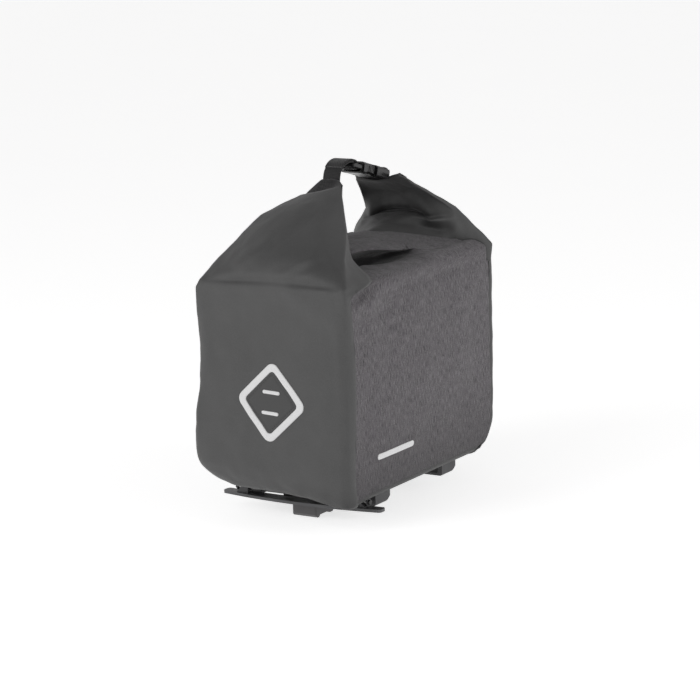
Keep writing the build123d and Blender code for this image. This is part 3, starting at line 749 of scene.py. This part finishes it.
def wing_cloth(name, outer, inner):
    """One mesh of an end panel, its wing and the wing's inside, joined along the folds."""
    faces, start = [], 0
    for grid, turned in ((outer, name == "nose"), (inner, name == "tail")):
        made = grid_faces(*grid.shape[:2])
        faces += [tuple(start + v for v in (f[::-1] if turned else f)) for f in made]
        start += grid.shape[0] * grid.shape[1]
    points, uv = (np.concatenate([form(g) for g in (outer, inner)]) for form in (flat_points, flat_places))
    obj = add_mesh(f"{name}_tarpaulin", points, faces, "tarpaulin", uv=uv)
    thicken(obj, weld=True)
    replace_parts(obj, f"{name}_panel", f"{name}_wing")
    return obj


def outer_end(name, levels, seed):
    """The outside of a tarpaulin end, rumpled by noise from seed on."""
    grid = end_grid(levels, name == "tail")
    amount = creased(grid, OUTER_CREASES[name], (60, 1.3, seed), (17, 0.32, seed + 1))
    amount[:, [0, -1]] = 0
    return push(grid, amount + seam_lift(grid) if name == "tail" else -amount)


def make_ends():
    outers = {"tail": outer_end("tail", TAIL_LEVELS, 3), "nose": outer_end("nose", NOSE_LEVELS, 8)}
    made = {}
    for name, levels in (("tail", INNER_TAIL), ("nose", INNER_NOSE)):
        inner = inner_grid(levels, outers[name])
        amount = creased(inner, (), (40, 1.0, 12), (14, 0.25, 13)) - creased(inner, INNER_CREASES[name])
        border = np.sin(pi * np.linspace(0, 1, inner.shape[1]))[None, :] ** 0.5
        made[name] = wing_cloth(name, outers[name], push(inner, amount * border))
    return made


# ---- heather sides and roof
RIDGE = 24.5


def roof_slope(x):
    """The height of the flat roof above the shoulder, x millimetres from the ridge."""
    return RIDGE * (1 - (x / SIDE) ** 1.25)


def roof_section(y, depth):
    """The roof's section from the side over the shoulder to the ridge, with its pleat. depth is 1 for the
    deep pleat of the right side."""
    closing = clamp((y + 20) / 58)
    open_share = (1 - closing**1.5) * depth
    gap = 16.5 * open_share
    under = 22.0 * min(1.0, open_share * 2.2)
    flat = 1 - min(1.0, open_share * 2.2)
    edge = 36 + 22 * float(smooth_step(np.array(y), -45, 42))
    low = roof_slope(edge)
    bed = low - gap * 0.95
    return [
        (SIDE, -16), (SIDE, -7), (SIDE - 2.6, -0.9 + 1.2 * flat),
        (SIDE - 0.42 * (SIDE - edge), 4.0 + 2.7 * flat),
        (edge + 7, roof_slope(edge + 7) - gap * 0.55),
        (edge - 1 + 4 * flat, bed),
        (edge - under + 2.4 * flat, bed - 1.5 + 1.5 * flat),
        (edge - under - 2 + 3.2 * flat, low - gap * 0.6),
        (edge - under * 0.5 + 0.4 * flat, low - gap * 0.22),
        (edge - 0.3, low - gap * 0.02),
        (edge - 0.3 - 1.2 * flat, low + gap * 0.14 + 0.4),
        (edge - 5, roof_slope(edge - 5) + gap * 0.22),
        (edge * 0.5, roof_slope(edge * 0.5) + gap * 0.2),
        (9, RIDGE - 1.4), (0, RIDGE),
    ]


def half_roof(depth, shares):
    """One half of the roof, from just under the shoulder up to the ridge."""
    rows = 96
    ys = np.linspace(-110, END, 70)
    sections = np.array([spline(roof_section(y, depth), rows, 0.7) for y in ys])
    roof = np.zeros((rows, len(shares), 3))
    for r in range(rows):
        for c, share in enumerate(shares):
            y = 0.0
            for _ in range(4):
                x = float(np.interp(y, ys, sections[:, r, 0]))
                z = float(np.interp(y, ys, sections[:, r, 1]))
                inward = 1 - clamp(x / SIDE)
                over = float(smooth_step(np.array(z), -6, 1.5)) if x > SIDE * 0.8 else 1.0
                first = -(END - SEAM) - 2 + over * (END - SEAM - 91 + 46 * inward)
                last = END - SEAM + 2 + over * (SEAM - 8 - 96 * inward)
                y = first + (last - first) * share
            roof[r, c] = (x, y, SHOULDER + z)
    return roof


def heather_grid():
    """Both sides and the roof between them, in one cloth from the right hem to the left one."""
    shares = np.linspace(0, 1, 121)
    places = np.linspace(WRAP - 0.02, 5.02 - WRAP, len(shares))
    heights = body_heights(HEATHER_LOW, SHOULDER - BEND)
    right = np.concatenate([body_grid(places, heights), half_roof(1.0, shares)])
    roof = half_roof(0.55, shares) * np.array([-1, 1, 1])
    out = 2.4 * smooth_step(-roof[..., 1] / END, 0.1, 0.98)
    roof[..., 0] -= out * (roof[..., 0] < -SIDE * 0.9)
    left = np.concatenate([body_grid([-u for u in places], heights), roof])
    grid = relax(np.concatenate([right, left[-2::-1]]), 3)
    creases = []
    for x in (SIDE, -SIDE):
        creases += [
            ((x, -124, -19), (x * 0.98, -40, -6), 7.0, 1.7),
            ((x, -136, -13), (x * 0.97, -84, -5), 4.5, -2.6),
            ((x * 1.02, -118, -36), (x, -30, -22), 9.0, -1.6),
            ((x * 0.97, -60, 0), (x * 0.96, 40, -2), 7.0, 1.1),
            ((x, 20, -18), (x, 118, -10), 12.0, -1.0),
        ]
    amount = creased(grid, creases, (70, 1.8, 21), (22, 0.4, 22))
    rim = np.minimum(1, np.minimum(shares, 1 - shares) * 12)
    rows = np.arange(len(grid))
    hem = np.minimum(1, np.minimum(rows, rows[::-1]) / 16.0)
    return push(grid, amount * rim[None, :] * hem[:, None])


def make_sides():
    panels = ("side_panel_left", "side_panel_right", "top_flap_left", "top_flap_right")
    grid = heather_grid()
    return cloth_piece("heather_cloth", grid, "heather_cloth", *panels, "roll_band", "mouth_batten")


def make_bottom():
    """The tarpaulin floor, which wraps up behind the lower edge of the heather sides."""
    counts = (18, 6, 40, 8, 18)
    half = [u for i, count in enumerate(counts) for u in np.linspace(i, i + 1, count)[:-1]]
    places = half + [5] + [-u for u in half[:0:-1]]
    rings = [body_grid(places, body_heights(BOTTOM, HEATHER_LOW + 9), -2.3)]
    centre = np.array([0, 0, BOTTOM])
    last = rings[0][0]
    for share in (0.985, 0.85, 0.65, 0.4, 0.15):
        ring = last * share + centre * (1 - share)
        ring[:, 2] = BOTTOM + 0.3
        rings.insert(0, ring[None])
    grid = np.concatenate(rings)
    grid = push(grid, rumple(grid, 40, 0.5, 31) * smooth_step(grid[..., 2], BOTTOM, BOTTOM + 10))
    rows, columns = grid.shape[:2]
    faces = grid_faces(rows, columns, wrap=True) + [tuple(range(columns))[::-1]]
    obj = add_mesh("tarpaulin_floor", flat_points(grid), faces, "tarpaulin", uv=flat_places(grid))
    thicken(obj)
    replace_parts(obj, "bottom_panel")


# ---- marks laid onto the cloth
class Skin:
    """A finished cloth piece that marks are laid onto, seen from outside along one direction."""

    def __init__(self, obj, way):
        mesh = obj.data
        faces = [p.vertices[:] for p in mesh.polygons]
        self.tree = BVHTree.FromPolygons([v.co for v in mesh.vertices], faces)
        self.way = Vector(way)

    def lay(self, points, height):
        """Points in millimetres, moved along the view onto the cloth and lifted off it by height."""
        hits = [self.tree.ray_cast(Vector(p) * MM, self.way)[0] for p in points]
        return np.array([(hit - self.way * (height * MM)) / MM for hit in hits])


def rounded(corners, radius, arc=7, run=9):
    """A closed outline with rounded corners, always with the same number of points."""
    arcs = []
    for i, corner in enumerate(corners):
        c = np.array(corner, float)
        before, after = np.array(corners[i - 1]) - c, np.array(corners[(i + 1) % len(corners)]) - c
        before, after = before / np.linalg.norm(before), after / np.linalg.norm(after)
        half = acos(float(before @ after)) / 2
        centre = c + (before + after) / np.linalg.norm(before + after) * radius / sin(half)
        start, end = c + before * radius / tan(half) - centre, c + after * radius / tan(half) - centre
        turn = pi - 2 * half
        shares = np.linspace(0, 1, arc)
        spokes = [(sin((1 - t) * turn) * start + sin(t * turn) * end) / sin(turn) for t in shares]
        arcs.append([centre + spoke for spoke in spokes])
    outline = []
    for i, points in enumerate(arcs):
        nearby = arcs[(i + 1) % len(arcs)][0]
        outline += points + [points[-1] + (nearby - points[-1]) * t for t in np.linspace(0, 1, run)[1:-1]]
    return np.array(outline)


def raised_mark(name, skin, loops, look, filled=True):
    """A mark with a rounded edge, from closed loops of points, each with its height off the cloth."""
    rows = [skin.lay(points, height) for points, height in loops]
    count = len(rows[0])
    if filled:
        points, height = loops[-1]
        middle = points.mean(axis=0)
        rows += [skin.lay(middle + (points - middle) * share, height) for share in (0.8, 0.55, 0.3, 0.08)]
    faces = grid_faces(len(rows), count, wrap=True)
    if filled:
        faces.append(tuple(range((len(rows) - 1) * count, len(rows) * count)))
    return add_mesh(name, np.concatenate(rows), faces, look)


DIAMOND = (-0.4, 127.0)  # the middle of the light patch, x and z
DIAMOND_HALF = (40.6, 42.0)
DIAMOND_TILT = radians(-3.5)
BAR = (19.0, 3.5)


def on_tail(flat):
    """A flat outline about the patch's middle, turned with the patch and held off the tail."""
    c, t = cos(DIAMOND_TILT), sin(DIAMOND_TILT)
    return np.array([(DIAMOND[0] + x * c - z * t, -220, DIAMOND[1] + x * t + z * c) for x, z in flat])


def diamond(shrink):
    """The rounded rhombus on the tail, smaller by shrink at its points."""
    half_x, half_z = DIAMOND_HALF[0] - shrink, DIAMOND_HALF[1] - shrink
    corners = [(0, half_z), (half_x, 0), (0, -half_z), (-half_x, 0)]
    return on_tail(rounded(corners, max(1.2, 8.0 - 0.4 * shrink)))


def strip_outline(size, shrink, lift=0.0):
    """A flat strip with rounded ends, raised by lift."""
    x, z = size[0] / 2 - shrink, size[1] / 2 - shrink
    return rounded([(x, z), (x, -z), (-x, -z), (-x, z)], z * 0.95, arc=6, run=14) + np.array([0, lift])


def on_side(flat, side, middle):
    return np.array([(side * 150, middle[0] + y, middle[1] + z) for y, z in flat])


def stitches(name, line, outward, pitch=3.3, length=2.5, radius=0.4):
    """Short rounded threads laid end to end along a line."""
    line = np.array(line, float)
    steps = run_lengths(line)
    count = max(2, int(steps[-1] / pitch))
    points, faces = [], []
    outward = np.array(outward, float)
    for at in (np.arange(count) + 0.5) * steps[-1] / count:
        middle = np.array([np.interp(at, steps, line[:, k]) for k in range(3)])
        ahead = np.array([np.interp(at + 0.4, steps, line[:, k]) for k in range(3)])
        along = (ahead - middle) / max(np.linalg.norm(ahead - middle), 1e-9)
        side = np.cross(along, outward)
        start = len(points)
        for share, size in ((-0.5, 0.3), (-0.38, 0.85), (0, 1), (0.38, 0.85), (0.5, 0.3)):
            base = middle + along * share * length - outward * radius * 2.2 * share**2
            for turn in np.arange(6) * pi / 3:
                points.append(base + (side * cos(turn) + outward * sin(turn)) * radius * size)
        faces += [tuple(start + v for v in f) for f in grid_faces(5, 6, wrap=True)]
    return add_mesh(name, points, faces, "thread")


# The sections of the marks, from the edge inwards: how far in, and how high off the cloth
RING_SECTION = [(0, -0.5), (0, 0.45), (0.25, 0.75), (0.8, 0.95), (2.5, 1.05), (5.0, 1.1), (7.5, 1.05)]
RING_SECTION += [(9.1, 0.95), (9.6, 0.7), (9.8, 0.3), (9.8, -0.5)]
PATCH_SECTION = [(9.9, -0.4), (9.9, 0.2), (10.4, 0.55), (11.4, 0.75), (12.9, 0.65), (13.6, 0.3), (14.3, 0.65)]
PATCH_SECTION += [(15.6, 0.85), (20, 0.95)]
BAR_SECTION = [(0, 0.5), (0, 1.3), (0.2, 1.6), (0.6, 1.75), (1.1, 1.8)]
STRIP_SECTION = [(0, -0.3), (0, 0.35), (0.2, 0.55), (0.7, 0.65), (1.6, 0.7)]
STITCH_IN = 13.6  # how far inside the ring's edge the patch is sewn
BAR_LIFT = 10.25
SIDE_STRIP, SIDE_STRIP_PLACE = (68, 6), (-62, 69)


def make_marks(tail, heather):
    skin = Skin(tail, (0, 1, 0))
    loops = [(diamond(shrink), height) for shrink, height in RING_SECTION]
    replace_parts(raised_mark("reflective_diamond", skin, loops, "reflective", filled=False), "reflective_ring")
    loops = [(diamond(shrink), height) for shrink, height in PATCH_SECTION]
    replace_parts(raised_mark("light_patch", skin, loops, "patch_rubber"), "light_clip_patch")
    seam = diamond(STITCH_IN)
    stitches("light_patch_stitches", skin.lay(np.concatenate([seam, seam[:1]]), 0.35), (0, -1, 0))
    bars = []
    for name, lift in (("upper", BAR_LIFT), ("lower", -BAR_LIFT)):
        loops = [(on_tail(strip_outline(BAR, shrink, lift)), height) for shrink, height in BAR_SECTION]
        bars.append(raised_mark(f"light_bar_{name}", skin, loops, "reflective"))
    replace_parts(bars[0], "light_clip_bars")
    for name, side in (("left", -1), ("right", 1)):
        skin = Skin(heather, (-side, 0, 0))
        outlines = [(strip_outline(SIDE_STRIP, shrink), height) for shrink, height in STRIP_SECTION]
        loops = [(on_side(outline, side, SIDE_STRIP_PLACE), height) for outline, height in outlines]
        strip = raised_mark(f"side_reflector_{name}", skin, loops, "reflective")
        if side > 0:
            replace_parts(strip, "side_reflectors")


# ---- webbing
BUCKLE_SLOPE = radians(15.5)
BUCKLE_START = (-4, 98.5)  # y and height above the shoulder


def in_buckle(y, z):
    """A point of the buckle's own frame, as (y, height above the shoulder)."""
    c, t = cos(BUCKLE_SLOPE), sin(BUCKLE_SLOPE)
    return BUCKLE_START[0] + y * c + z * t, BUCKLE_START[1] - y * t + z * c


def softened(path, rounds=3):
    """A path with its corners cut off, again and again."""
    p = np.array(path, float)
    for _ in range(rounds):
        cut = np.empty((2 * (len(p) - 1), p.shape[1]))
        cut[0::2] = p[:-1] * 0.75 + p[1:] * 0.25
        cut[1::2] = p[:-1] * 0.25 + p[1:] * 0.75
        p = np.concatenate([p[:1], cut, p[-1:]])
    return p


def band(name, path, width=20.0, thickness=1.5, body="bag"):
    """Webbing with rounded selvedges, along a (y, height above the shoulder) path."""
    line = softened(path)
    steps = run_lengths(line)
    at = np.linspace(0, steps[-1], max(12, int(steps[-1] / 1.1)))
    line = np.stack([np.interp(at, steps, line[:, k]) for k in range(2)], axis=1)
    ways = directions(line)
    half, thin = width / 2, thickness / 2
    section = [(-half, 0), (-half + 0.3, thin * 0.8), (-half + 1.2, thin), (-half + 1.9, thin * 0.8)]
    section += [(x, thin * 0.94) for x in np.linspace(-half + 3, half - 3, 9)]
    section += [(half - 1.9, thin * 0.8), (half - 1.2, thin), (half - 0.3, thin * 0.8), (half, 0)]
    section += [(x, -z) for x, z in section[-2:0:-1]]
    points = [
        (x, y - z * way[1], SHOULDER + up + z * way[0])
        for (y, up), way in zip(line, ways)
        for x, z in section
    ]
    uv = [(x, place) for place in at for x, z in section]
    count = len(section)
    faces = grid_faces(len(line), count, wrap=True)
    faces += [tuple(range(count)), tuple(range((len(line) - 1) * count, len(line) * count))[::-1]]
    return add_mesh(name, points, [f[::-1] for f in faces], "webbing", body=body, uv=uv)


def sheet_between(name, replaced, rows):
    """A small webbing sheet through rows of points, each row from left to right, in place of a CAD node."""
    control = np.array([spline(raised(row), 31, 0.3) for row in rows])
    grid = spline_at(control, np.linspace(0, len(rows) - 1, 8 * (len(rows) - 1) + 1), 0.4)
    return cloth_piece(name, grid, "webbing", replaced, thickness=1.3)


def make_webbing():
    strap = band(
        "tail_webbing",
        [
            (-44, 68), (-38, 73), (-28, 80), (-26.3, 92), (-20.5, 98.6), (-12, 101.0), in_buckle(-1, 3.15),
            in_buckle(4.75, 3.3), in_buckle(4.75, -3.3), in_buckle(11.25, -3.3), in_buckle(11.25, 5.3),
            in_buckle(-1, 5.6), (-11, 103.8), (-18, 101.6), (-23, 97.6),
        ],
        body=None,
    )
    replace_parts(strap, "tail_strap")
    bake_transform(strap)
    loop = [in_buckle(71.6, 1.0), in_buckle(71.6, 6.2), in_buckle(59.2, 6.2), in_buckle(59.2, -2.0)]
    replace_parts(band("nose_webbing", [(97, 60.6), (71, 74.1), (66.5, 77.5)] + loop), "nose_strap")
    sheet_between("tail_top_tape", "tail_end_strip", [
        [(-23, -38, 64), (-10, -41, 66), (0, -42.5, 68), (12, -44, 70), (23, -46, 74)],
        [(-24.4, -40.4, 70.6), (-12, -42, 73.6), (0, -43, 76), (12, -44, 79), (24.4, -47.5, 83)],
        [(-21, -38, 75), (-11, -28.6, 86), (0, -28.4, 87), (10.4, -29.5, 86), (23.6, -45.5, 84.5)],
    ])
    sheet_between("nose_top_tape", "nose_end_strip", [
        [(-24, 60, 78.4), (-12, 64.5, 77.2), (0, 66.5, 76.4), (12, 67, 78), (24.4, 65, 82)],
        [(-24, 64, 76.6), (-12, 68.5, 75), (0, 70.5, 74.4), (12, 71.2, 75.6), (25.5, 69.5, 79.4)],
        [(-25, 68.4, 74), (-12, 72.8, 72.8), (0, 74.6, 72.2), (12, 75.4, 73.2), (27, 74, 76.6)],
    ])


# ---- springs
ROD = (-100.0, 24.0)  # the hinge rod's place in Y and Z


def tube(name, line, radius, sides=10):
    """A round steel wire along a line of points, on no body."""
    line = np.array(line, float)
    ways = directions(line)
    side = np.cross(ways[0], (0.3, 0.2, 0.9))
    points = []
    for place, way in zip(line, ways):
        side = side - way * (side @ way)
        side = side / np.linalg.norm(side)
        up = np.cross(way, side)
        points += [place + (side * cos(t) + up * sin(t)) * radius for t in np.arange(sides) * 2 * pi / sides]
    last = (len(line) - 1) * sides
    faces = grid_faces(len(line), sides, wrap=True)
    faces += [tuple(range(sides))[::-1], tuple(range(last, last + sides))]
    return add_mesh(name, points, faces, "steel", body=None)


def make_springs():
    """Coils round the rod: the outer leg stays under the plate, the inner one winds with the release bar."""
    turns, wire, coil = 6.5, 0.65, 3.85
    inner, outer, reach = 11.75, 20.65, 12.0
    rod_y, rod_z = ROD
    for name, side in (("left", -1), ("right", 1)):
        angles = np.linspace(0, turns * 2 * pi, int(turns * 26))
        xs = inner + (outer - inner) * angles / angles[-1]
        line = [(side * x, rod_y - coil * sin(a), rod_z - coil * cos(a)) for x, a in zip(xs, angles)]
        shares = (0.35, 0.7, 1.0)
        low_leg = [(side * inner, rod_y + reach * t, rod_z - coil - 0.4 * t) for t in shares[::-1]]
        high_leg = [(side * outer, rod_y + reach * t, rod_z + coil + 0.4 * t) for t in shares]
        spring = tube(f"spring_{name}", low_leg + line + high_leg, wire)
        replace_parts(spring, f"torsion_spring_{name}")
        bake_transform(spring)


# ---- camera, light and floor
AZIMUTH, HEIGHT, ROLL = radians(32.05), radians(11.5), radians(-1.86)
DISTANCE, SHIFT_RIGHT, SHIFT_DOWN = 2600, 1.4, 90.2  # from a point at the shoulder's height
LENS = 132.4


def make_camera():
    """From the tail's right, a little above, with the small tilt of the picture."""
    back = Vector((sin(AZIMUTH) * cos(HEIGHT), -cos(AZIMUTH) * cos(HEIGHT), sin(HEIGHT)))
    level = Vector((cos(AZIMUTH), sin(AZIMUTH), 0))
    upright = level.cross(-back)
    right = level * cos(ROLL) + upright * sin(ROLL)
    up = upright * cos(ROLL) - level * sin(ROLL)
    place = back * DISTANCE + right * SHIFT_RIGHT - up * SHIFT_DOWN
    place = (place + Vector((0, 0, SHOULDER))) * MM
    data = bpy.data.cameras.new("camera")
    data.lens = LENS
    data.sensor_width = 36.0
    data.clip_end = 80.0
    camera = in_scene("camera", data)
    turn = Matrix((right, up, back)).transposed()
    camera.matrix_world = Matrix.Translation(place) @ turn.to_4x4()
    bpy.context.scene.camera = camera


TENT = (0.60, 0.02)  # brightness of the surroundings, at the horizon and overhead
FLOOR_GLOW = 0.66
KEY, FILL, SIDE_LIGHT = 10.0, 4.0, 9.6  # watts


def area_light(name, place, target, size, power):
    data = bpy.data.lights.new(name, "AREA")
    data.shape = "RECTANGLE"
    data.size, data.size_y = size
    data.energy = power
    light = in_scene(name, data)
    light.location = place
    light.rotation_euler = (Vector(target) - Vector(place)).to_track_quat("-Z", "Y").to_euler()


def make_studio():
    """A white sweep that glows softly, under a tent of light that is brighter near the horizon."""
    bpy.context.scene.view_settings.view_transform = "Standard"
    world = bpy.data.worlds.new("studio")
    bpy.context.scene.world = world
    world.use_nodes = True
    nodes, links = world.node_tree.nodes, world.node_tree.links
    direction = nodes.new("ShaderNodeTexCoord").outputs["Generated"]
    split = nodes.new("ShaderNodeSeparateXYZ")
    links.new(direction, split.inputs["Vector"])
    rise = nodes.new("ShaderNodeMapRange")
    links.new(split.outputs["Z"], rise.inputs["Value"])
    for name, value in (("From Min", 0.3), ("From Max", 1.0), ("To Min", TENT[0]), ("To Max", TENT[1])):
        rise.inputs[name].default_value = value
    links.new(rise.outputs["Result"], nodes["Background"].inputs["Strength"])
    nodes["Background"].inputs["Color"].default_value = (1, 0.995, 0.995, 1)
    middle = (0, 0, 0.17)
    area_light("key", (-1.0, -2.0, 0.9), middle, (1.2, 1.0), KEY)
    area_light("fill", (-0.5, -1.9, 1.7), middle, (1.0, 1.0), FILL)
    area_light("side", (2.2, 0.25, 0.75), middle, (1.0, 1.2), SIDE_LIGHT)
    floor_look = Shader("studio_floor")
    floor_look.set(Roughness=0.95, Specular_IOR_Level=0.05)
    floor_look.set(Emission_Color=(1, 1, 1, 1), Emission_Strength=FLOOR_GLOW)
    tint = floor_look.grain(0.4, detail=2)
    floor_look.link(floor_look.mix(tint, "f6f6f6", "f9f9f9"), "Base Color")
    size = 25
    mesh = bpy.data.meshes.new("studio_floor")
    corners = [(-size, -size), (size, -size), (size, size), (-size, size)]
    mesh.from_pydata([(x, y, -0.0005) for x, y in corners], [], [(0, 1, 2, 3)])
    mesh.materials.append(floor_look.material)
    floor = in_scene("studio_floor", mesh)
    floor.visible_diffuse = False


NODE_LOOKS = {
    "board": ("base_board", "side_board_left", "side_board_right", "mouth_batten"),
    "buckle_plastic": ("buckle_housing", "buckle_plug", "buckle_prong_left", "buckle_prong_right"),
    "adapter_plastic": (
        "chassis_plate", "hook_tail_left", "hook_tail_right", "hook_nose_left", "hook_nose_right",
        "hinge_knuckle_left", "hinge_knuckle_right", "rod_clips", "lever_cheek_left", "lever_cheek_right",
    ),
    "latch_plastic": ("latch_block",),
    "bar_paint": ("release_bar",),
    "hinge_rod": ("hinge_rod",),
    "steel": ("chassis_bolts", "chassis_washers", "chassis_nuts"),
    "black_steel": ("latch_screws", "hook_screws", "knuckle_screws", "cheek_screws"),
    "webbing": ("tail_strap", "nose_strap", "tail_end_strip", "nose_end_strip"),
    "reflective": ("reflective_ring", "light_clip_bars", "side_reflectors"),
    "patch_rubber": ("light_clip_patch",),
}


def paint_nodes():
    for look, names in NODE_LOOKS.items():
        for name in names:
            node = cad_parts[name]
            node.data.materials.clear()
            node.data.materials.append(LOOKS[look])


paint_nodes()
ends = make_ends()
sides = make_sides()
make_bottom()
make_marks(ends["tail"], sides)
make_webbing()
make_springs()
make_camera()
make_studio()
